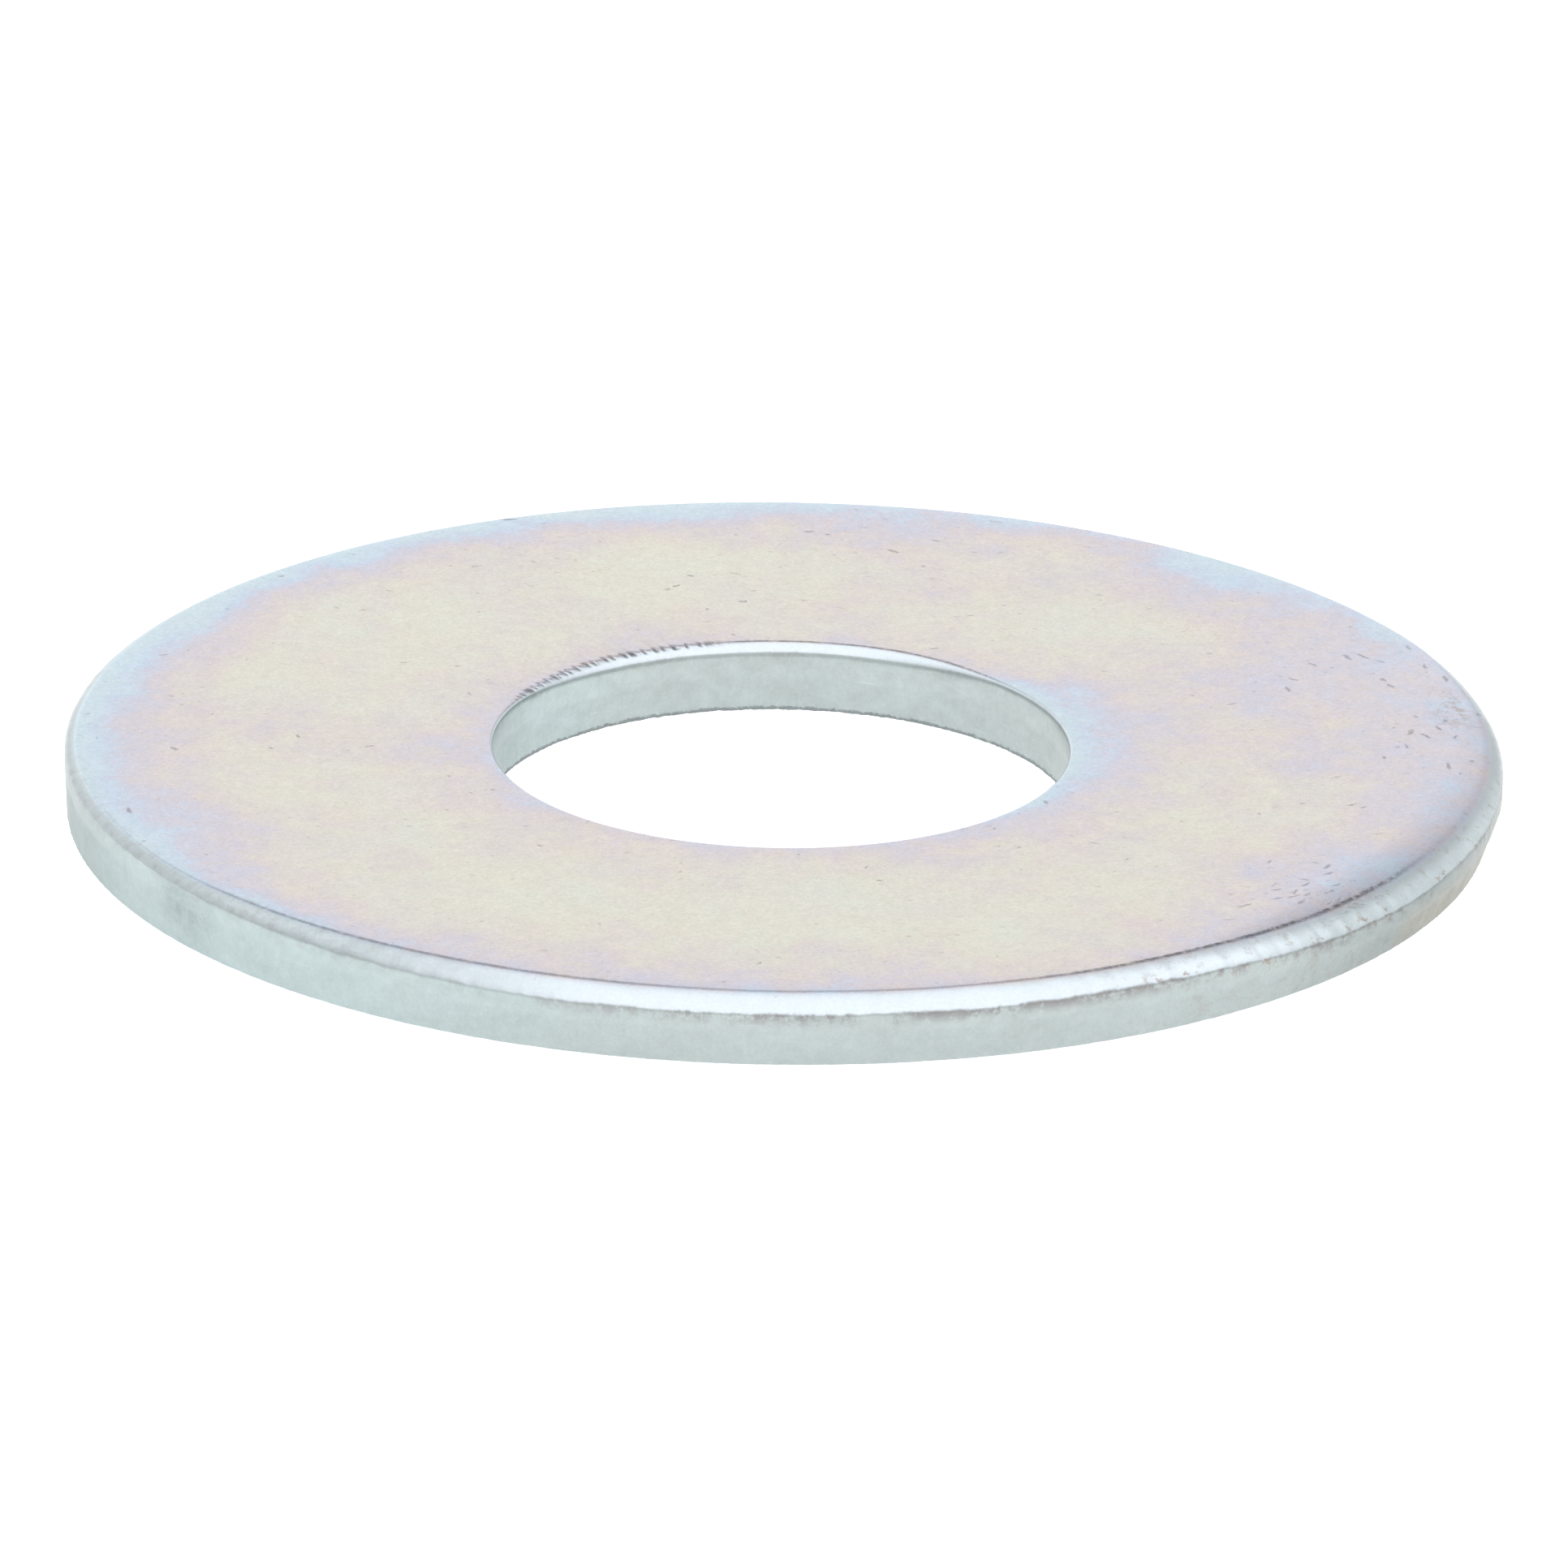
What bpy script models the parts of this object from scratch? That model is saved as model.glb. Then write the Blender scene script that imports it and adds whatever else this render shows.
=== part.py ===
"""Flat washer for a 3/8 in bolt, one inch across, stamped from thin steel strip.

The washer is a single solid. It rests on its bottom bearing face at z = 0, and the bore's axis is +Z.
One stroke of the die cuts the rim and the bore from the same side. So each top edge is rolled over,
a straight land runs down from it, and the torn rest of the wall leans away to a sharp bottom edge.
Metres, +Z up.
"""

import math

import bmesh
import bpy

MM = 0.001

# Sizes of the washer
OUTER_DIAMETER = 25.4 * MM
BORE_DIAMETER = 10.20 * MM
THICKNESS = 1.25 * MM

# Edges of the cut, each measured from the wall it belongs to
RIM_ROLLOVER_WIDTH = 0.44 * MM
RIM_ROLLOVER_DEPTH = 0.27 * MM
RIM_LAND_HEIGHT = 0.26 * MM
RIM_TEAR_LEAN = 0.13 * MM
BORE_ROLLOVER_WIDTH = 0.22 * MM
BORE_ROLLOVER_DEPTH = 0.14 * MM
BORE_LAND_HEIGHT = 0.42 * MM
BORE_TEAR_LEAN = 0.04 * MM

# Fineness of the round shapes
TURN_FACETS = 144
RIM_ROLLOVER_FACETS = 6
BORE_ROLLOVER_FACETS = 4

ZINC_COLOUR = (0.78, 0.79, 0.77, 1.0)
ZINC_ROUGHNESS = 0.34
SHARP_EDGE_ANGLE = math.radians(30)


def clear_objects():
    for old in list(bpy.data.objects):
        bpy.data.objects.remove(old, do_unlink=True)


def cut_edge(wall_radius, outward, width, depth, land, lean, facets):
    """Half outline of one cut wall, from the top face down to the bottom face.

    outward is +1 where the metal lies inside the wall's radius, as at the rim, and -1 at the bore.
    """
    points = []
    for step in range(facets + 1):
        turn = 0.5 * math.pi * step / facets
        inset = width * (1.0 - math.sin(turn))
        drop = depth * (1.0 - math.cos(turn))
        points.append((wall_radius - outward * inset, THICKNESS - drop))
    points.append((wall_radius, THICKNESS - depth - land))
    points.append((wall_radius - outward * lean, 0.0))
    return points


def washer_outline():
    """Closed half section in (radius, height), from the rim's top edge round to the bore's."""
    rim = cut_edge(
        OUTER_DIAMETER / 2, 1, RIM_ROLLOVER_WIDTH, RIM_ROLLOVER_DEPTH,
        RIM_LAND_HEIGHT, RIM_TEAR_LEAN, RIM_ROLLOVER_FACETS,
    )
    bore = cut_edge(
        BORE_DIAMETER / 2, -1, BORE_ROLLOVER_WIDTH, BORE_ROLLOVER_DEPTH,
        BORE_LAND_HEIGHT, BORE_TEAR_LEAN, BORE_ROLLOVER_FACETS,
    )
    return rim + bore[::-1]


def turned_mesh(name, outline):
    """Spin a closed half section a full turn about Z."""
    shape = bmesh.new()
    corners = [shape.verts.new((radius, 0.0, height)) for radius, height in outline]
    section = [
        shape.edges.new((corner, corners[(index + 1) % len(corners)]))
        for index, corner in enumerate(corners)
    ]
    bmesh.ops.spin(
        shape, geom=corners + section, cent=(0, 0, 0), axis=(0, 0, 1),
        angle=2 * math.pi, steps=TURN_FACETS, use_merge=True,
    )
    bmesh.ops.recalc_face_normals(shape, faces=shape.faces)
    mesh = bpy.data.meshes.new(name)
    shape.to_mesh(mesh)
    shape.free()
    mesh.shade_smooth()
    mesh.set_sharp_from_angle(angle=SHARP_EDGE_ANGLE)
    return mesh


def zinc_plated_steel():
    material = bpy.data.materials.new("zinc_plated_steel")
    material.use_nodes = True
    shader = material.node_tree.nodes["Principled BSDF"]
    shader.inputs["Base Color"].default_value = ZINC_COLOUR
    shader.inputs["Roughness"].default_value = ZINC_ROUGHNESS
    shader.inputs["Metallic"].default_value = 1.0
    return material


clear_objects()
washer = bpy.data.objects.new("washer", turned_mesh("washer", washer_outline()))
washer.data.materials.append(zinc_plated_steel())
bpy.context.collection.objects.link(washer)
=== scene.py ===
import math

import bpy
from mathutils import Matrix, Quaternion, Vector


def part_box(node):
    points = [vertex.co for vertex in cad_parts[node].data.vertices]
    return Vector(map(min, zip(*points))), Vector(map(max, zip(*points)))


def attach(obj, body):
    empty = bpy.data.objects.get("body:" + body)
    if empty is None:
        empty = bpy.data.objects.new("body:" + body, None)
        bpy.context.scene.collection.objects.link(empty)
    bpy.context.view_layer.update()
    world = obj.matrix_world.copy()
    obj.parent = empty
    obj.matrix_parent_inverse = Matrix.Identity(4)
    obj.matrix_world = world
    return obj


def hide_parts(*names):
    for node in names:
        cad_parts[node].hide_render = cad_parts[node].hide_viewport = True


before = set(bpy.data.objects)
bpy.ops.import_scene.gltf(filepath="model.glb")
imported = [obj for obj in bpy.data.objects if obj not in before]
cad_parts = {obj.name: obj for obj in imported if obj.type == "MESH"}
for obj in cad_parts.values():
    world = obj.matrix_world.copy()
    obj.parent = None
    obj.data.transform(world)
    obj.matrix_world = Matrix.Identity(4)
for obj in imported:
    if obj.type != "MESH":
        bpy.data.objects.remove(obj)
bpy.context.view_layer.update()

MM = 0.001


# Camera
# A long lens far from the washer, so its ellipses are almost those of a parallel view. It looks
# down at about 20 degrees from the front, is a touch off level, and holds the washer a little
# above the middle of a square picture.

VIEW_ELEVATION = math.radians(20.5)
VIEW_ROLL = math.radians(0.85)
VIEW_DISTANCE = 0.6985
PICTURE_WIDTH = 27.69 * MM
AIM_RIGHT_OF_CENTRE = 0.062 * MM
AIM_BELOW_CENTRE = 0.68 * MM

washer_low, washer_high = (Vector(corner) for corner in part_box("washer"))
washer_top = Vector((0.0, 0.0, washer_high.z))

to_camera = Vector((0.0, -math.cos(VIEW_ELEVATION), math.sin(VIEW_ELEVATION)))
picture_up = Vector((0.0, math.sin(VIEW_ELEVATION), math.cos(VIEW_ELEVATION)))
aim = washer_top + Vector((AIM_RIGHT_OF_CENTRE, 0.0, 0.0)) - picture_up * AIM_BELOW_CENTRE

lens = bpy.data.cameras.new("camera")
lens.lens = lens.sensor_width * VIEW_DISTANCE / PICTURE_WIDTH
lens.clip_start = VIEW_DISTANCE * 0.2
lens.clip_end = VIEW_DISTANCE * 10
camera = bpy.data.objects.new("camera", lens)
camera.location = aim + to_camera * VIEW_DISTANCE
camera.rotation_mode = "QUATERNION"
level = to_camera.to_track_quat("Z", "Y")
camera.rotation_quaternion = level @ Quaternion((0.0, 0.0, 1.0), VIEW_ROLL)
bpy.context.collection.objects.link(camera)
bpy.context.scene.camera = camera


# Washer
# One flat ring of thin steel strip. A die blanks the rim and pierces the bore in one stroke from
# above, which rolls both top edges over, leaves a straight land under each and tears the rest of
# the wall down to a slight burr. It is then barrelled, zinc plated and dipped in a clear passivate.

BORE_RADIUS = min(corner.co.xy.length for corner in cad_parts["washer"].data.vertices)
SIZES = {
    "Outer Radius": (washer_high.x - washer_low.x) / 2,
    "Bore Radius": BORE_RADIUS,
    "Thickness": washer_high.z - washer_low.z,
    "Rim Sag Width": 0.34 * MM,
    "Rim Sag Depth": 0.004 * MM,
    "Rim Rollover Width": 0.50 * MM,
    "Rim Rollover Depth": 0.25 * MM,
    "Rim Land Height": 0.26 * MM,
    "Rim Tear Lean": 0.13 * MM,
    "Bore Rollover Width": 0.22 * MM,
    "Bore Rollover Depth": 0.14 * MM,
    "Bore Land Height": 0.42 * MM,
    "Bore Tear Lean": 0.04 * MM,
    "Bore Lip Width": 0.12 * MM,
    "Tooth Pitch": 0.20 * MM,
    "Tooth Depth": 0.020 * MM,
    "Burr Height": 0.035 * MM,
    "Burr Width": 0.03 * MM,
    "Die Offset": 0.055 * MM,
    "Tear Roughness": 0.012 * MM,
}
FACETS_AROUND = 1300
ROWS = {
    "bore lip": 4,
    "top face": 9,
    "rim sag": 8,
    "rim rollover": 11,
    "rim land": 4,
    "rim tear": 8,
    "rim burr": 1,
    "bottom face": 8,
    "bore burr": 1,
    "bore tear": 8,
    "bore land": 4,
    "bore rollover": 9,
}
ROLLOVER_START = math.radians(30)
ROLLOVER_END = math.radians(74)
SHARP_EDGE = math.radians(42)
WELD_GAP = 0.0005 * MM
SEED = 7

# Where the die and punch worked unevenly: middle of that side in degrees, and how squarely a place
# must face it for the effect to start and to be full
DIE_SIDES = {
    "slack": (-13, 0.74, 0.99),
    "loose": (-70, 0.10, 0.85),
    "pulled": (98, 0.50, 0.93),
    "dragged": (130, 0.85, 0.95),
}
SLACK_SAG_WIDTH = 1.7
SLACK_SAG_DEPTH = 24.0
SLACK_ROLLOVER_DEPTH = 0.15
TIGHT_RIM_WIDTH = 0.38
TIGHT_RIM_DEPTH = 0.58
UNPULLED_BORE_WIDTH = 0.20
UNPULLED_BORE_DEPTH = 0.25
TEAR_LEAN_SWING = 0.75
RIM_BURR_SHARE = 0.70
BORE_BURR_SHARE = 0.50
TOOTH_SLANT = 1.8

# How the edges waver round the ring: waves to a radius, detail, roughness, seed and amount
WAVERS = {
    "rim width": (5, 2, 0.5, 0, 0.2),
    "rim depth": (10, 4, 0.6, 1, 0.5),
    "rim ribs": (40, 2, 0.6, 13, 0.35),
    "rim land": (9, 4, 0.6, 2, 1.1),
    "rim burr": (45, 3, 0.7, 7, 0.7),
    "bore width": (6, 2, 0.5, 4, 0.25),
    "bore depth": (4, 2, 0.5, 5, 0.2),
    "bore land": (7, 3, 0.6, 6, 0.8),
    "bore burr": (24, 4, 0.75, 8, 2.4),
    "tooth place": (14, 3, 0.7, 3, 3.4),
    "tooth width": (20, 2, 0.6, 14, 0.6),
    "toothless": (26, 2, 0.6, 12, 1.0),
    "strip": (2, 2, 0.5, 10, 0.012 * MM),
    "jags": (60, 3, 0.7, 11, 1.0),
}


class Field:
    """What a socket carries, so that a node tree can be written as sums and products."""

    def __init__(self, socket):
        self.socket = socket
        self.tree = socket.id_data

    def maths(self, operation, *others):
        return combine(self.tree, operation, self, *others)

    def __add__(self, other):
        return self.maths("ADD", other)

    def __radd__(self, other):
        return self.maths("ADD", other)

    def __sub__(self, other):
        return self.maths("SUBTRACT", other)

    def __rsub__(self, other):
        return combine(self.tree, "SUBTRACT", other, self)

    def __mul__(self, other):
        return self.maths("MULTIPLY", other)

    def __rmul__(self, other):
        return self.maths("MULTIPLY", other)

    def __truediv__(self, other):
        return self.maths("DIVIDE", other)

    def __pow__(self, other):
        return self.maths("POWER", other)


def feed(value, socket):
    """Give a socket another socket's field, or a plain value."""
    if isinstance(value, Field):
        socket.id_data.links.new(value.socket, socket)
    else:
        socket.default_value = value


def combine(tree, operation, *values):
    node = tree.nodes.new("ShaderNodeMath")
    node.operation = operation
    for socket, value in zip(node.inputs, values):
        feed(value, socket)
    return Field(node.outputs[0])


def rise(value, start, end, smooth=True):
    """0 before start, 1 past end; start may be the larger of the two."""
    node = value.tree.nodes.new("ShaderNodeMapRange")
    node.interpolation_type = "SMOOTHSTEP" if smooth else "LINEAR"
    feed(value, node.inputs["Value"])
    feed(start, node.inputs["From Min"])
    feed(end, node.inputs["From Max"])
    return Field(node.outputs["Result"])


def join(tree, x, y, z):
    node = tree.nodes.new("ShaderNodeCombineXYZ")
    for socket, value in zip(node.inputs, (x, y, z)):
        feed(value, socket)
    return Field(node.outputs[0])


def split(vector):
    node = vector.tree.nodes.new("ShaderNodeSeparateXYZ")
    feed(vector, node.inputs[0])
    return [Field(output) for output in node.outputs]


def wander(place, scale, detail=2.0, roughness=0.5, seed=0.0):
    """Cloudy noise about 0, from roughly -0.5 to 0.5; scale is in waves per unit of place."""
    node = place.tree.nodes.new("ShaderNodeTexNoise")
    node.noise_dimensions = "4D"
    feed(place, node.inputs["Vector"])
    feed(seed, node.inputs["W"])
    feed(scale, node.inputs["Scale"])
    feed(detail, node.inputs["Detail"])
    feed(roughness, node.inputs["Roughness"])
    return Field(node.outputs[0]) - 0.5


def stamped_ring(material):
    """Geometry Nodes tree: a grid whose columns go round the ring and rows round its section."""
    tree = bpy.data.node_groups.new("stamped_ring", "GeometryNodeTree")
    for name, value in SIZES.items():
        socket = tree.interface.new_socket(name, in_out="INPUT", socket_type="NodeSocketFloat")
        socket.default_value = value
    for name, value in (("Facets Around", FACETS_AROUND), ("Seed", SEED)):
        socket = tree.interface.new_socket(name, in_out="INPUT", socket_type="NodeSocketInt")
        socket.default_value = value
    tree.interface.new_socket("Geometry", in_out="OUTPUT", socket_type="NodeSocketGeometry")
    given = tree.nodes.new("NodeGroupInput")
    size = {socket.name: Field(socket) for socket in given.outputs if socket.name}
    seed = size["Seed"]

    grid = tree.nodes.new("GeometryNodeMeshGrid")
    grid.inputs["Size X"].default_value = 1.0
    grid.inputs["Size Y"].default_value = 1.0
    feed(size["Facets Around"] + 1, grid.inputs["Vertices X"])
    grid.inputs["Vertices Y"].default_value = sum(ROWS.values()) + 1
    column, row, _ = split(Field(tree.nodes.new("GeometryNodeInputPosition").outputs[0]))
    angle = (column + 0.5) * math.tau
    row = (row + 0.5) * sum(ROWS.values())
    east, north = angle.maths("COSINE"), angle.maths("SINE")
    lap = join(tree, east, north, 0.0)

    passed, first = {}, 0
    for name, rows in ROWS.items():
        passed[name] = rise(row, first, first + rows, smooth=False)
        first += rows

    def waver(name):
        waves, detail, roughness, step, amount = WAVERS[name]
        return wander(lap, waves, detail, roughness, seed + step) * amount

    def on_side(name):
        middle, start, full = DIE_SIDES[name]
        side = math.radians(middle)
        return rise(east * math.cos(side) + north * math.sin(side), start, full)

    # The die is loose on one side, where the edge rolls over widely, and tight elsewhere. Beside
    # that the face sags further before its edge rolls over.
    slack, loose = on_side("slack"), on_side("loose")
    sag_width = size["Rim Sag Width"] * (1 + slack * SLACK_SAG_WIDTH)
    sag_depth = size["Rim Sag Depth"] * (1 + slack * SLACK_SAG_DEPTH)
    rim_width = size["Rim Rollover Width"] * (1 + waver("rim width"))
    rim_width = rim_width * (TIGHT_RIM_WIDTH + loose * (1 - TIGHT_RIM_WIDTH))
    rim_depth = size["Rim Rollover Depth"] * (1 + waver("rim depth") + waver("rim ribs"))
    kept_depth = TIGHT_RIM_DEPTH + loose * (1 - TIGHT_RIM_DEPTH) - slack * SLACK_ROLLOVER_DEPTH
    rim_depth = rim_depth * kept_depth
    rim_land = size["Rim Land Height"] * (1 + waver("rim land"))
    rim_lean = size["Rim Tear Lean"] * (1.05 + east * TEAR_LEAN_SWING)

    # The punch pulled one side of the bore's edge down more than the others.
    pulled = on_side("pulled")
    bore_width = size["Bore Rollover Width"] * (1 + waver("bore width"))
    bore_width = bore_width * (UNPULLED_BORE_WIDTH + pulled * (1 - UNPULLED_BORE_WIDTH))
    bore_depth = size["Bore Rollover Depth"] * (1 + waver("bore depth"))
    bore_depth = bore_depth * (UNPULLED_BORE_DEPTH + pulled * (1 - UNPULLED_BORE_DEPTH))
    bore_land = size["Bore Land Height"] * (1 + waver("bore land"))
    bore_lean = size["Bore Tear Lean"]

    burr = size["Burr Height"]
    burr_width = size["Burr Width"]
    rim_burr = burr * (RIM_BURR_SHARE + waver("rim burr")).maths("MINIMUM", 1.0)
    bore_burr = burr * (BORE_BURR_SHARE + waver("bore burr")).maths("MINIMUM", 1.0)

    # Each rollover is part of an ellipse, with a crease where it leaves the face and its land.
    def rolled(share):
        """How far out and how far down a rollover has gone when share of its turn is done."""
        turn = ROLLOVER_START + share * (ROLLOVER_END - ROLLOVER_START)
        out = turn.maths("SINE") - math.sin(ROLLOVER_START)
        down = math.cos(ROLLOVER_START) - turn.maths("COSINE")
        full_out = math.sin(ROLLOVER_END) - math.sin(ROLLOVER_START)
        full_down = math.cos(ROLLOVER_START) - math.cos(ROLLOVER_END)
        return out / full_out, down / full_down

    rim_out, rim_down = rolled(passed["rim rollover"])
    bore_out, bore_down = rolled(1 - passed["bore rollover"])
    lip_width = size["Bore Lip Width"]
    top_start = size["Bore Radius"] + bore_width + lip_width
    top_end = size["Outer Radius"] - rim_width - sag_width
    bottom_start = size["Outer Radius"] - rim_lean - burr_width
    bottom_end = size["Bore Radius"] + bore_lean + burr_width
    radius = (
        size["Bore Radius"]
        + bore_width
        + lip_width * passed["bore lip"]
        + (top_end - top_start) * passed["top face"]
        + sag_width * passed["rim sag"]
        + rim_width * rim_out
        - rim_lean * passed["rim tear"]
        - burr_width * passed["rim burr"]
        + (bottom_end - bottom_start) * passed["bottom face"]
        - burr_width * passed["bore burr"]
        - bore_lean * passed["bore tear"]
        + bore_width * (1 - bore_out)
    )
    rim_edge = (radius - size["Outer Radius"] + rim_width) / MM
    bore_edge = (size["Bore Radius"] + bore_width - radius) / MM

    # A worn punch dragged one side of the bore's edge into a row of small teeth.
    lap_length = angle * size["Bore Radius"] / size["Tooth Pitch"]
    beat = lap_length + bore_edge * TOOTH_SLANT + waver("tooth place")
    tooth_width = 0.30 + waver("tooth width")
    tooth = rise((beat.maths("FRACT") - 0.5).maths("ABSOLUTE"), tooth_width, 0.08)
    tooth = tooth * rise(waver("toothless"), -0.26, -0.04)
    teeth = tooth * on_side("dragged") * rise((bore_edge - 0.01).maths("ABSOLUTE"), 0.12, 0.03)
    teeth = teeth * (1 - passed["rim sag"] + passed["bore rollover"])

    sag = sag_depth * passed["rim sag"] ** 2 + sag_depth * 2 / sag_width * rim_width * rim_out
    full_sag = sag_depth + sag_depth * 2 / sag_width * rim_width
    rim_tear_height = size["Thickness"] - full_sag - rim_depth - rim_land - (burr - rim_burr)
    bore_tear_height = size["Thickness"] - bore_depth - bore_land - (burr - bore_burr)
    height = (
        size["Thickness"]
        - sag
        - rim_depth * rim_down
        - rim_land * passed["rim land"]
        - rim_tear_height * passed["rim tear"]
        + rim_burr * passed["rim burr"]
        - bore_burr * passed["bore burr"]
        + bore_tear_height * passed["bore tear"]
        + bore_land * passed["bore land"]
        + bore_depth * (1 - bore_down)
        - size["Tooth Depth"] * teeth
    )

    # Torn metal is grainy; the strip itself is very slightly uneven.
    rim_torn = rise(passed["rim tear"], 0.0, 0.15) - passed["rim burr"]
    bore_torn = passed["bore burr"] - rise(passed["bore tear"], 0.85, 1.0)
    place = join(tree, radius * east / MM, radius * north / MM, height / MM)
    grain = wander(place, 7, 4, 0.65, seed + 9) * 2 * size["Tear Roughness"]
    radius = radius + grain * (rim_torn - bore_torn) - size["Tear Roughness"] * 0.6 * rim_torn
    height = height + waver("strip") * passed["top face"] * (1 - passed["rim rollover"])
    jag = waver("jags") * burr_width
    radius = radius + jag * (rise(passed["rim tear"], 0.8, 1.0) - passed["rim burr"])
    radius = radius + jag * (passed["bore burr"] - rise(passed["bore tear"], 0.0, 0.2))
    on_rim = passed["top face"] - passed["bottom face"]
    shift = size["Die Offset"] * on_rim

    wall = (passed["rim rollover"] - passed["rim burr"]) + (
        passed["bore burr"] - passed["bore rollover"]
    )
    foot = size["Thickness"] - bore_depth + (bore_depth - rim_depth - full_sag) * on_rim
    marks = {
        "wall": wall,
        "torn": rim_torn + bore_torn,
        "drop": (foot - height) / MM,
        "rim_edge": rim_edge,
        "bore_edge": bore_edge,
        "teeth": teeth,
    }

    mesh = grid.outputs["Mesh"]
    for name, value in marks.items():
        store = tree.nodes.new("GeometryNodeStoreNamedAttribute")
        store.data_type = "FLOAT"
        store.domain = "POINT"
        store.inputs["Name"].default_value = name
        tree.links.new(mesh, store.inputs["Geometry"])
        feed(value, store.inputs["Value"])
        mesh = store.outputs["Geometry"]

    bend = tree.nodes.new("GeometryNodeSetPosition")
    tree.links.new(mesh, bend.inputs["Geometry"])
    feed(join(tree, radius * east + shift, radius * north, height), bend.inputs["Position"])

    weld = tree.nodes.new("GeometryNodeMergeByDistance")
    weld.inputs["Distance"].default_value = WELD_GAP
    tree.links.new(bend.outputs["Geometry"], weld.inputs["Geometry"])

    smooth = tree.nodes.new("GeometryNodeSetShadeSmooth")
    smooth.domain = "FACE"
    tree.links.new(weld.outputs["Geometry"], smooth.inputs["Geometry"])
    crease = tree.nodes.new("GeometryNodeSetShadeSmooth")
    crease.domain = "EDGE"
    tree.links.new(smooth.outputs["Geometry"], crease.inputs["Geometry"])
    bent = Field(tree.nodes.new("GeometryNodeInputMeshEdgeAngle").outputs["Unsigned Angle"])
    feed(bent.maths("GREATER_THAN", SHARP_EDGE), crease.inputs["Selection"])
    crease.inputs["Shade Smooth"].default_value = False

    solid = tree.nodes.new("GeometryNodeRealizeInstances")
    tree.links.new(crease.outputs["Geometry"], solid.inputs["Geometry"])
    plate = tree.nodes.new("GeometryNodeSetMaterial")
    plate.inputs["Material"].default_value = material
    tree.links.new(solid.outputs["Geometry"], plate.inputs["Geometry"])
    result = tree.nodes.new("NodeGroupOutput")
    tree.links.new(plate.outputs["Geometry"], result.inputs["Geometry"])
    return tree


def tint(red, green, blue):
    """A colour given as it looks, on the 0 to 255 scale, turned into light."""
    light = [
        part / 255 / 12.92 if part < 10.3 else ((part / 255 + 0.055) / 1.055) ** 2.4
        for part in (red, green, blue)
    ]
    return (*light, 1.0)


# Tints of the passivate from its thinnest to its thickest film
FILM_TINTS = (
    (0.00, tint(226, 226, 213)),
    (0.20, tint(226, 222, 211)),
    (0.38, tint(223, 215, 212)),
    (0.52, tint(218, 211, 218)),
    (0.64, tint(212, 211, 224)),
    (0.76, tint(206, 217, 234)),
    (0.87, tint(206, 223, 236)),
    (1.00, tint(209, 226, 234)),
)
CUT_METAL = tint(180, 190, 189)
COOL_CUT_METAL = tint(183, 197, 198)
YELLOW_CUT_METAL = tint(196, 192, 176)
# The lighter rolled tint paints a highlight on the rollovers facing the front and in the bore, and
# also colours tool scratches; the duller tint below paints shade on the other rollovers
ROLLED_METAL = tint(215, 224, 231)
SHADED_ROLLED_METAL = tint(200, 211, 215)
# Darker colour along the bottom edge of the bore wall
DARK_BORE_BOTTOM = tint(132, 139, 140)
# Painted shade along the rollover creases, also the colour of the bore's teeth
PAINTED_CREASE_SHADE_AND_TEETH = tint(116, 118, 124)
STAIN = tint(150, 147, 148)
BROWN_STAIN = tint(168, 156, 148)
NICK = tint(146, 146, 154)

# Clouds in the film on the top face: place in mm, reach in mm, change of film
FILM_CLOUDS = (
    (-2.0, 9.0, 1.6, -0.20),
    (-7.0, 6.0, 2.2, -0.18),
    (0.6, -8.4, 2.6, -0.24),
    (-4.6, -7.6, 1.8, -0.16),
    (6.3, -4.9, 1.6, -0.12),
    (6.2, 6.2, 1.7, -0.14),
    (9.0, 2.8, 2.2, 0.18),
    (10.5, -1.2, 1.8, 0.08),
    (7.4, 8.6, 2.0, 0.22),
    (-6.0, -0.4, 1.8, 0.16),
    (-10.4, -4.6, 1.6, 0.10),
    (2.5, -5.9, 1.3, 0.16),
    (-10.5, 5.8, 0.6, 0.20),
    (-7.6, 9.2, 0.6, 0.20),
    (-1.7, 11.9, 0.7, 0.22),
    (-9.2, 3.4, 1.0, -0.14),
    (10.3, -5.6, 1.5, 0.24),
    (7.6, -8.9, 1.3, 0.20),
    (0.5, -12.2, 2.2, 0.16),
    (-4.5, -11.4, 1.8, 0.10),
    (-9.4, 0.6, 1.2, 0.12),
    (11.7, -2.8, 1.2, 0.04),
    (-2.6, 5.9, 0.9, 0.10),
)

# Groups of nicks: place in mm, reach in mm, share of extra nicks
NICK_GROUPS = (
    (11.6, 1.0, 1.2, 0.18),
    (9.5, -7.0, 0.9, 1.20),
    (-10.5, 0.6, 1.4, 0.07),
    (-10.0, -4.2, 1.3, 0.07),
    (10.6, 4.4, 1.2, 0.20),
)

# Where round the ring each mark lies, painted highlights and painted shade among them: middle of
# its side in degrees, and how squarely a place must face it for the mark to start and to be full
MARK_SIDES = {
    "thick film": (2, 0.45, 1.0),
    "painted_highlight": (-82, 0.70, 0.93),
    "cool wall": (-165, 0.2, 0.9),
    "yellow wall": (-17, 0.95, 0.995),
    "painted shade on right wall": (-5, 0.72, 0.95),
    "painted shade on left wall": (180, 0.86, 1.0),
    "painted shade at end of bore": (172, 0.90, 1.0),
    "painted highlight on rollover": (-28, 0.84, 0.96),
    "painted shade on left rollover": (176, 0.90, 1.0),
    "painted shade on front rollover": (-122, 0.95, 1.0),
    "painted shade on right rollover": (5, 0.93, 1.0),
    "stained front": (-76, 0.45, 0.95),
    "clean left": (-140, 0.66, 0.94),
    "speckled right": (-28, 0.72, 0.95),
    "mottled left": (-150, 0.80, 0.97),
    "dark crease": (-44, 0.86, 0.98),
    "dark crease in front": (-80, 0.48, 0.70),
    "left crease": (-122, 0.90, 0.98),
    "creased front": (-80, 0.32, 0.55),
    "dragged bore": (128, 0.82, 0.95),
    "creased bore": (100, 0.35, 0.75),
}

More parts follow.
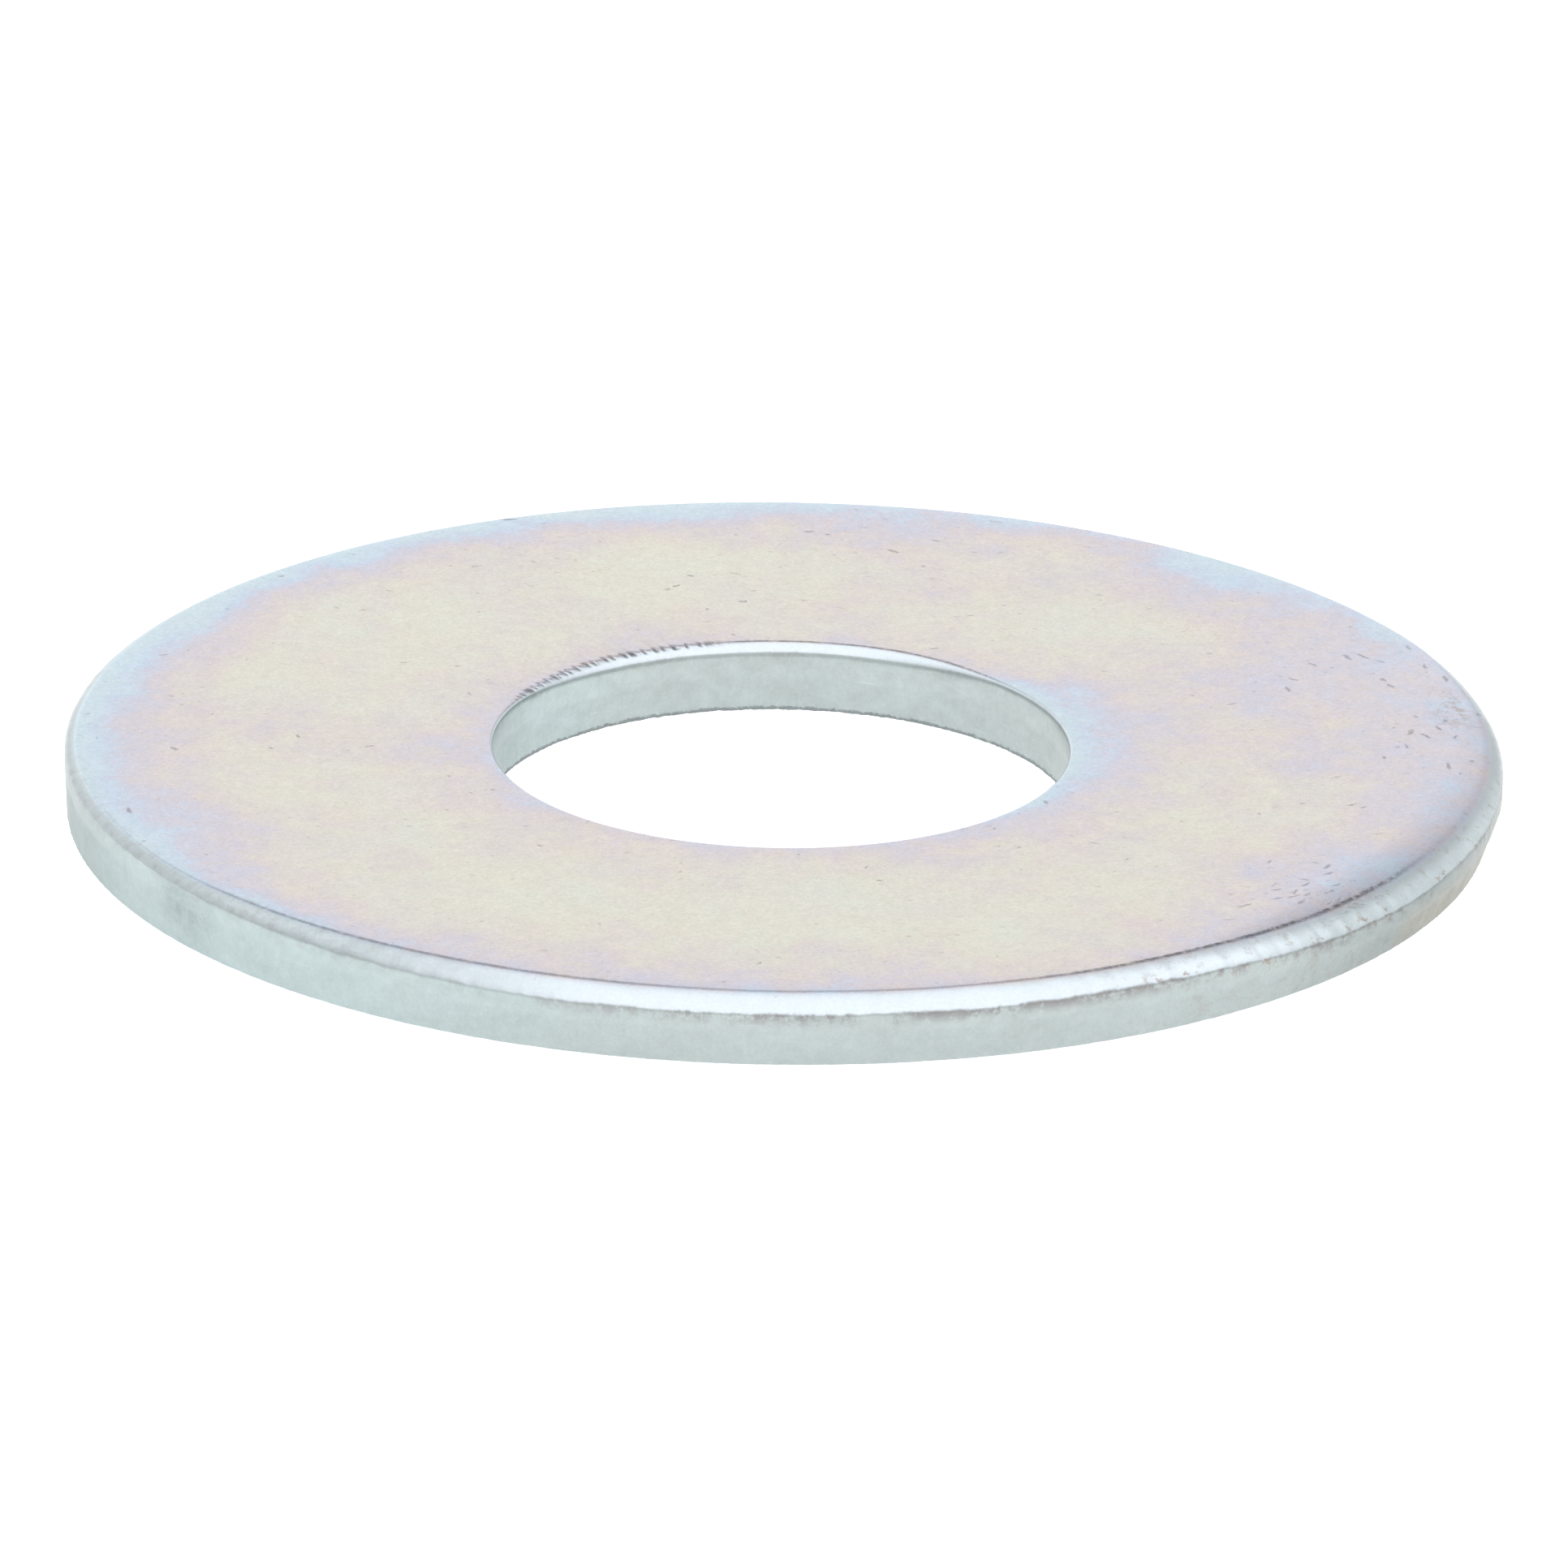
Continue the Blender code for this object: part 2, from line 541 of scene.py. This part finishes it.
# Clouds and grains of the finish: waves to a mm, detail, roughness and seed
PATTERNS = {
    "broad film": (0.45, 3, 0.55, 1.0),
    "patchy film": (1.3, 4, 0.62, 2.0),
    "fine film": (11.0, 2, 0.6, 3.0),
    "drawn streaks": (1.0, 4, 0.65, 4.0),
    "wall blotches": (1.1, 4, 0.65, 5.0),
    "fine grain": (18.0, 2, 0.8, 6.0),
    "coarse grain": (5.0, 2, 0.6, 12.0),
    "cut metal": (0.35, 3, 0.6, 16.0),
    "mottled metal": (4.0, 4, 0.7, 19.0),
    "wall patch": (1.8, 4, 0.75, 28.0),
    "foot stain": (0.9, 3, 0.6, 7.0),
    "stain edges": (6.0, 4, 0.75, 21.0),
    "wall stain": (1.1, 4, 0.7, 17.0),
    "specks": (4.0, 4, 0.72, 8.0),
    "rust": (4.0, 4, 0.75, 33.0),
    "mottled edge": (5.0, 4, 0.75, 20.0),
    "ragged edge": (9.0, 3, 0.7, 13.0),
    "broken crease": (7.0, 4, 0.75, 18.0),
    "nicked parts": (0.35, 2, 0.5, 9.0),
    "scuffed parts": (0.6, 2, 0.5, 22.0),
    "bend across": (7.0, 4, 0.85, 14.0),
    "bend along": (7.0, 4, 0.85, 15.0),
    "faded nicks": (3.0, 3, 0.7, 24.0),
    "broken nicks": (12.0, 3, 0.7, 27.0),
    "warmth": (0.7, 3, 0.6, 23.0),
    "matt parts": (3.0, 3, 0.6, 10.0),
    "relief": (22.0, 3, 0.7, 11.0),
}

# Strokes: size of the cell that holds one, its length and width in mm, and its range of slant
STROKES = {
    "long nick": (0.90, 0.16, 0.040, 1.2),
    "short nick": (0.42, 0.08, 0.035, 2.0),
    "scuff": (0.32, 0.23, 0.055, 1.2),
    "tool scratch": (0.45, 0.40, 0.014, 0.12),
}

# Thickness of the film on the open face, and how far it is thicker in from each edge, in mm
FACE_FILM = 0.22
RIM_FILM_REACH = 1.25
BORE_FILM_REACH = 1.1
BORE_EDGE_REACH = 0.3

# Middles of a dark patch on the wall and of a rusty one by the rim, in mm
WALL_PATCH = (-10.4, -7.1, 0.75)
RUSTY_PATCH = (11.9, 2.4)
SCUFF_RADIUS = 11.6
GLOSS = 0.30


def mix(tree, amount, one, other):
    node = tree.nodes.new("ShaderNodeMix")
    node.data_type = "RGBA"
    feed(amount, node.inputs[0])
    feed(one, node.inputs[6])
    feed(other, node.inputs[7])
    return Field(node.outputs[2])


def mark(tree, name):
    node = tree.nodes.new("ShaderNodeAttribute")
    node.attribute_name = name
    return Field(node.outputs["Fac"])


def dashes(place, stroke, kept):
    """Short strokes, one to a cell of Voronoi at most, each with its own place and slant."""
    cell, length, width, turn = STROKES[stroke]
    tree = place.tree
    cells = tree.nodes.new("ShaderNodeTexVoronoi")
    cells.voronoi_dimensions = "2D"
    feed(place, cells.inputs["Vector"])
    cells.inputs["Scale"].default_value = 1 / cell
    x, y, _ = split(place)
    middle_x, middle_y, _ = split(Field(cells.outputs["Position"]))
    lot = tree.nodes.new("ShaderNodeSeparateColor")
    tree.links.new(cells.outputs["Color"], lot.inputs[0])
    first, second, third = (Field(output) for output in lot.outputs)
    slant = (first - 0.5) * turn
    away_x, away_y = x - middle_x, y - middle_y
    cosine, sine = slant.maths("COSINE"), slant.maths("SINE")
    along = (away_x * cosine + away_y * sine) / (length * (0.3 + second * 0.7))
    across = (away_y * cosine - away_x * sine) / (width * (0.6 + third * 0.4))
    stroke = rise((along * along + across * across).maths("SQRT"), 1.0, 0.45)
    return stroke * combine(tree, "LESS_THAN", (first * 7.31 + second * 3.7).maths("FRACT"), kept)


def plated_finish():
    """Zinc plate under a clear passivate whose tint follows the thickness of its film, with painted
    highlights and painted shade on its rolled edges, walls and creases.
    """
    material = bpy.data.materials.new("clear_zinc_plate")
    material.use_nodes = True
    tree = material.node_tree
    shader = tree.nodes["Principled BSDF"]
    shader.inputs["Metallic"].default_value = 1.0

    coordinates = tree.nodes.new("ShaderNodeTexCoord")
    scaled = tree.nodes.new("ShaderNodeVectorMath")
    scaled.operation = "SCALE"
    scaled.inputs["Scale"].default_value = 1 / MM
    tree.links.new(coordinates.outputs["Object"], scaled.inputs[0])
    place = Field(scaled.outputs[0])
    x, y, z = split(place)
    radius = (x * x + y * y).maths("SQRT")
    wall, torn, drop, teeth = (mark(tree, name) for name in ("wall", "torn", "drop", "teeth"))
    rim_edge, bore_edge = mark(tree, "rim_edge"), mark(tree, "bore_edge")
    inner = rise(radius, 9.0, 8.0)
    upper = rise(z, 0.4, 0.8)

    def towards(degrees):
        side = math.radians(degrees)
        return (x * math.cos(side) + y * math.sin(side)) / radius

    def on_side(name, strayed=0.0):
        middle, start, full = MARK_SIDES[name]
        return rise(towards(middle) + strayed, start, full)

    def pattern(name, where=place):
        waves, detail, roughness, seed = PATTERNS[name]
        return wander(where, waves, detail, roughness, seed)

    def fading(distance):
        """1 where distance is nothing, falling away to 0 as it grows."""
        return (distance * -1).maths("EXPONENT")

    # The film is thickest along the rim and round one side of the bore.
    rim_gap = SIZES["Outer Radius"] / MM - radius
    bore_gap = radius - SIZES["Bore Radius"] / MM
    rim_film = (0.58 + towards(150) * 0.34) * fading((rim_gap / RIM_FILM_REACH) ** 1.4)
    bore_film = (0.24 + on_side("thick film") * 0.50) * fading(bore_gap / BORE_FILM_REACH)
    bore_film = bore_film + 0.14 * fading(bore_gap / BORE_EDGE_REACH)
    film = rim_film + bore_film + FACE_FILM + rise(x, 5.0, 12.0) * 0.16
    for middle_x, middle_y, reach, change in FILM_CLOUDS:
        away = ((x - middle_x) ** 2 + (y - middle_y) ** 2) / reach**2
        film = film + fading(away) * upper * change
    film = film + pattern("broad film") * 0.70
    film = film + pattern("patchy film") * 0.80
    film = film + pattern("fine film") * 0.35
    tints = tree.nodes.new("ShaderNodeValToRGB")
    feed(film, tints.inputs[0])
    while len(tints.color_ramp.elements) < len(FILM_TINTS):
        tints.color_ramp.elements.new(0.5)
    for element, (position, colour) in zip(tints.color_ramp.elements, FILM_TINTS):
        element.position, element.color = position, colour
    colour = Field(tints.outputs["Color"])

    # Rolled edges, painted lighter as a highlight on the front side and in the bore and duller as
    # shade elsewhere, then the cut walls below them with their drawn streaks
    outer = 1 - inner
    painted_highlight = on_side("painted_highlight") * outer + inner
    rolled_colour = mix(tree, painted_highlight, SHADED_ROLLED_METAL, ROLLED_METAL)
    colour = mix(tree, rise(wall, 0.0, 0.25), colour, rolled_colour)
    clouds = pattern("cut metal")
    cut_colour = mix(tree, on_side("cool wall", clouds), CUT_METAL, COOL_CUT_METAL)
    yellow = on_side("yellow wall", clouds * 0.2) * rise(z, 0.8, 0.4) * outer
    cut_colour = mix(tree, yellow * 0.6, cut_colour, YELLOW_CUT_METAL)
    colour = mix(tree, rise(drop, -0.03, 0.01) * rise(wall, 0.5, 0.9), colour, cut_colour)
    cut = rise(wall, 0.9, 1.0)
    rolled = rise(wall, 0.1, 0.5) * (1 - cut) * outer
    streaks = pattern("drawn streaks", join(tree, x * 4, y * 4, z * 1.2))
    blotches = pattern("wall blotches", join(tree, x, y, z * 2.0))
    patch_x, patch_y, patch_z = WALL_PATCH
    patch = (x - patch_x) ** 2 + (y - patch_y) ** 2 + (z - patch_z) ** 2 * 2
    patch = (patch * 1.3 - pattern("wall patch") * 4.5 + 0.3).maths("MAXIMUM", 0.0)
    shade = 1 + (streaks * 0.05 + blotches * 0.26 - fading(patch) * 0.26) * cut
    # Painted shade on walls and rollovers on some sides, and a painted highlight on the right front
    # rollover
    for name, part, change in (
        ("painted shade on right wall", outer * cut, -0.32),
        ("painted shade on left wall", outer * cut, -0.25),
        ("painted shade at end of bore", inner * cut, -0.20),
        ("painted highlight on rollover", rolled, 0.13),
        ("painted shade on left rollover", rolled, -0.14),
        ("painted shade on front rollover", rolled, -0.12),
        ("painted shade on right rollover", rolled, -0.13),
    ):
        shade = shade + on_side(name) * part * change
    mottled = cut * (0.24 + inner * 0.10) + rolled * (1 - painted_highlight) * 0.34
    shade = shade + pattern("mottled metal") * mottled
    grain = pattern("fine grain") * 0.50 + pattern("coarse grain") * 0.14
    shade = shade + grain * (1 - rise(wall, 0.0, 0.2) * 0.5)

    # Grey and brown stain where each land meets its rollover, and specks lower down
    foot = rise(drop, -0.05, 0.01) * rise(drop, 0.26, 0.02)
    front = on_side("stained front") * outer
    stain = pattern("foot stain") + pattern("stain edges") * 0.9 + front * 0.14
    stain = rise(stain, 0.02, 0.24) * foot * (0.45 + front * 0.40 - inner * 0.1)
    stain = stain * (1 - on_side("clean left") * outer * 0.7)
    on_edge = rise(rim_edge, -0.20, 0.0)
    specks = rise(pattern("specks"), 0.04, 0.15) * on_edge
    near_foot = 0.35 + rise(drop.maths("ABSOLUTE"), 0.16, 0.05) * 0.65
    brown = specks * near_foot * on_side("speckled right", clouds * -0.5)
    rust_x, rust_y = RUSTY_PATCH
    rusty = fading((x - rust_x) ** 2 * 8 + (y - rust_y) ** 2)
    brown = brown.maths("MAXIMUM", rise(pattern("rust"), -0.04, 0.10) * rusty * 0.7)
    left_edge = on_side("mottled left") * on_edge * rise(drop, 0.22, -0.02)
    mottle = rise(pattern("mottled edge"), -0.04, 0.16) * left_edge
    brown = brown.maths("MAXIMUM", mottle * 0.26)
    colour = mix(tree, brown, colour, BROWN_STAIN)
    stain = stain.maths("MAXIMUM", rise(pattern("wall stain"), 0.17, 0.30) * cut * 0.4)
    colour = mix(tree, stain, colour, STAIN)
    # Darker along the bottom edge of the bore wall, in a ragged band
    ragged = rise(z + pattern("ragged edge") * 0.18, 0.10, 0.05) * cut * inner
    colour = mix(tree, ragged * 0.9, colour, DARK_BORE_BOTTOM)

    # Painted shade in a dark, broken line along the crease at the top of each rollover, and the
    # dark teeth of the bore
    broken = pattern("broken crease")
    unbroken = rise(broken, -0.20, 0.10)
    rim_line = rise((rim_edge + broken * 0.10).maths("ABSOLUTE"), 0.08, 0.01)
    dark_rim = 0.08 + on_side("dark crease") * on_side("dark crease in front") * 0.85
    dark_rim = dark_rim + on_side("left crease") * 0.38
    rim_line = rim_line * dark_rim * unbroken * on_side("creased front")
    dragged = on_side("dragged bore")
    bore_line = rise((bore_edge + broken * 0.08).maths("ABSOLUTE"), 0.06 + dragged * 0.05, 0.01)
    bore_line = bore_line * unbroken * on_side("creased bore")
    bore_line = bore_line * rise(wall, 0.6, 0.2) * (0.65 - dragged * 0.35)
    line = rim_line.maths("MAXIMUM", bore_line.maths("MAXIMUM", teeth * 0.95))
    colour = mix(tree, line, colour, PAINTED_CREASE_SHADE_AND_TEETH)

    # Nicks from tumbling, mostly short strokes
    gather = pattern("nicked parts") * 0.8 + rise(x, 6.0, 12.5) * 0.10
    scuffed = pattern("scuffed parts") * 0.2
    for middle_x, middle_y, reach, extra in NICK_GROUPS:
        away = ((x - middle_x) ** 2 + (y - middle_y) ** 2) / reach**2
        gather = gather + fading(away) * extra
        scuffed = scuffed + fading(away) * extra
    bend_x, bend_y = pattern("bend across") * 0.20, pattern("bend along") * 0.20
    worn = join(tree, x + bend_x, y + bend_y, 0.0)
    nick = dashes(worn, "long nick", 0.06 + gather * 0.8) * 0.55
    nick = nick.maths("MAXIMUM", dashes(worn, "short nick", 0.16 + gather) * 0.40)
    nick = nick * rise(pattern("faded nicks"), -0.35, 0.12)
    turn = combine(tree, "ARCTAN2", y, x)
    round_rim = join(tree, turn * SCUFF_RADIUS + bend_x, radius + bend_y, 0.0)
    nick = nick.maths("MAXIMUM", dashes(round_rim, "scuff", scuffed) * 0.62)
    nick = nick * rise(wall, 0.5, 0.2) * rise(pattern("broken nicks"), -0.25, 0.08)
    colour = mix(tree, nick, colour, NICK)

    # Fine scratches drawn round the walls by the tools
    unrolled = join(tree, turn * radius + bend_x * 0.5, z + turn * 0.02, 0.0)
    scratch = dashes(unrolled, "tool scratch", 0.12) * cut * (0.12 + inner * 0.20)
    colour = mix(tree, scratch, colour, ROLLED_METAL)

    # The plate is a little warmer or cooler from place to place
    warmth = pattern("warmth") * 0.10 * rise(wall, 0.3, 0.0)
    dim = tree.nodes.new("ShaderNodeMix")
    dim.data_type = "RGBA"
    dim.blend_type = "MULTIPLY"
    dim.inputs[0].default_value = 1.0
    feed(colour, dim.inputs[6])
    feed(join(tree, shade * (1 + warmth), shade, shade * (1 - warmth)), dim.inputs[7])
    tree.links.new(dim.outputs[2], shader.inputs["Base Color"])

    matt = GLOSS + pattern("matt parts") * 0.10 + torn * 0.12 + nick * 0.2 + stain * 0.2
    feed(matt, shader.inputs["Roughness"])

    relief = pattern("relief") * 0.0016 - nick * 0.006
    bump = tree.nodes.new("ShaderNodeBump")
    bump.inputs["Strength"].default_value = 1.0
    bump.inputs["Distance"].default_value = MM
    feed(relief, bump.inputs["Height"])
    tree.links.new(bump.outputs["Normal"], shader.inputs["Normal"])
    return material


finish = plated_finish()
ring = bpy.data.objects.new("washer_ring", bpy.data.meshes.new("washer_ring"))
bpy.context.collection.objects.link(ring)
stamping = ring.modifiers.new("stamping", "NODES")
stamping.node_group = stamped_ring(finish)
stamping_inputs = SIZES | {"Facets Around": FACETS_AROUND, "Seed": SEED}
for socket in stamping.node_group.interface.items_tree:
    if socket.in_out == "INPUT":
        stamping[socket.identifier] = stamping_inputs[socket.name]
depsgraph = bpy.context.evaluated_depsgraph_get()
solid_ring = bpy.data.meshes.new_from_object(ring.evaluated_get(depsgraph), depsgraph=depsgraph)
ring.modifiers.remove(stamping)
ring.data = solid_ring
print("ring triangles", sum(len(face.vertices) - 2 for face in solid_ring.polygons))
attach(ring, "root")
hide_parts("washer")


# Table and light
# A plain white light table under the washer, pale walls all round, a brighter board behind it and
# a soft box overhead, as for small polished parts. A dark gap is left between board and soft box,
# and a grey card stands beside the board to shade one edge.

TABLE_RADIUS = 1.2
TABLE_GAP = 0.01 * MM
TABLE_GREY = 0.35
TABLE_GLOW = 0.93
TABLE_MATT = 0.9

SIDE_LIGHT = 0.84
BACK_LIGHT = 1.16
FRONT_LIGHT = 1.02
CARD_LIGHT = 0.72
GAP_LIGHT = 0.45
SOFT_BOX_LIGHT = 1.33

# Edges of each light: how far up, back or sideways it starts and is full, 1 being right that way
BOARD_BOTTOM, BOARD_SIDES = (0.02, 0.16), (0.70, 0.92)
FRONT_EDGE = (-0.3, -0.8)
CARD_LEFT, CARD_RIGHT, CARD_FRONT = (0.09, 0.20), (0.50, 0.34), (0.5, 0.7)
GAP_BOTTOM, GAP_FRONT, GAP_SIDES = (0.42, 0.50), (0.30, 0.60), (0.46, 0.22)
GAP_MIDDLE = 0.10
BOX_BACK, BOX_FRONT, BOX_SIDES = (0.38, 0.50), (0.24, 0.54), (0.88, 0.42)
BOX_TILT = 0.5
BOX_MIDDLE = 0.08

table_mesh = bpy.data.meshes.new("table")
table_mesh.from_pydata(
    [
        (x * TABLE_RADIUS, y * TABLE_RADIUS, washer_low.z - TABLE_GAP)
        for x, y in ((-1, -1), (1, -1), (1, 1), (-1, 1))
    ],
    [],
    [(0, 1, 2, 3)],
)
table = bpy.data.objects.new("table", table_mesh)
bpy.context.collection.objects.link(table)
opal = bpy.data.materials.new("opal_table")
opal.use_nodes = True
opal_shader = opal.node_tree.nodes["Principled BSDF"]
opal_shader.inputs["Base Color"].default_value = (TABLE_GREY, TABLE_GREY, TABLE_GREY, 1.0)
opal_shader.inputs["Roughness"].default_value = TABLE_MATT
opal_shader.inputs["Specular IOR Level"].default_value = 0.0
opal_shader.inputs["Emission Color"].default_value = (1.0, 1.0, 1.0, 1.0)
opal_shader.inputs["Emission Strength"].default_value = TABLE_GLOW
table_mesh.materials.append(opal)

studio = bpy.data.worlds.new("studio")
studio.use_nodes = True
bpy.context.scene.world = studio
sky = studio.node_tree
direction = sky.nodes.new("ShaderNodeTexCoord")
sideways, backward, upward = split(Field(direction.outputs["Generated"]))
board = rise(upward, *BOARD_BOTTOM) * rise(backward, *BOARD_SIDES)
card = rise(sideways, *CARD_LEFT) * rise(sideways, *CARD_RIGHT) * rise(backward, *CARD_FRONT)
gap = rise(upward, *GAP_BOTTOM) * rise(backward, *GAP_FRONT)
gap = gap * rise((sideways - GAP_MIDDLE).maths("ABSOLUTE"), *GAP_SIDES)
soft_box = rise(upward - backward * BOX_TILT, *BOX_BACK)
soft_box = soft_box * rise((sideways - BOX_MIDDLE).maths("ABSOLUTE"), *BOX_SIDES)
soft_box = soft_box * rise(upward, *BOX_FRONT)
strength = SIDE_LIGHT + board * (BACK_LIGHT - SIDE_LIGHT)
strength = strength + rise(backward, *FRONT_EDGE) * (FRONT_LIGHT - SIDE_LIGHT)
strength = strength + (CARD_LIGHT - strength) * card
strength = strength + (GAP_LIGHT - strength) * gap
strength = strength + (SOFT_BOX_LIGHT - strength) * soft_box
feed(strength, sky.nodes["Background"].inputs["Strength"])
sky.nodes["Background"].inputs["Color"].default_value = (1.0, 1.0, 1.0, 1.0)

bpy.context.scene.view_settings.view_transform = "Standard"
